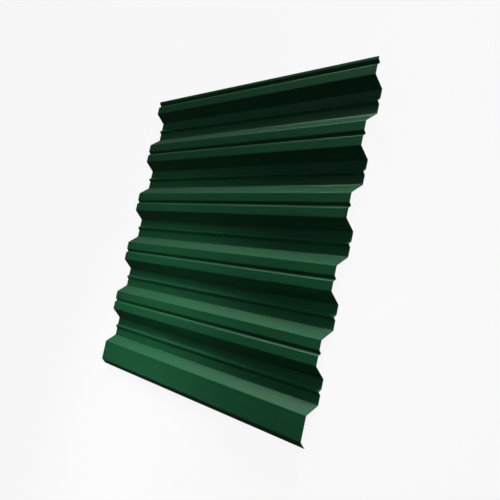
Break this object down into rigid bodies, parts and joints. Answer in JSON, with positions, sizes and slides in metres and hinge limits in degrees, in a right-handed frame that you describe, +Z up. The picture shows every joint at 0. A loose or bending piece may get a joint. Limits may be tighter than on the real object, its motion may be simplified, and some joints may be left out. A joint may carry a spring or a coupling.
{
  "type": "corrugated metal sheet",
  "caption": "Trapezoidal corrugated steel sheet with a dark green coating, grooved crests and valleys and two lap edges, for roofs, walls and fences.",
  "frame": {"origin": "under the middle of the sheet, at the level on which its valleys rest", "axes": "+X along the ribs, +Y across them towards the trimmed edge crest that goes under the next sheet, +Z up out of the coated face"},
  "size_m": [1.2, 1.0662, 0.0357],
  "materials": {
    "green_coating": "semi-gloss dark green coil coating on galvanised steel"
  },
  "bodies": {
    "root": {"corrugated_sheet": "green_coating"}
  },
  "joints": []
}
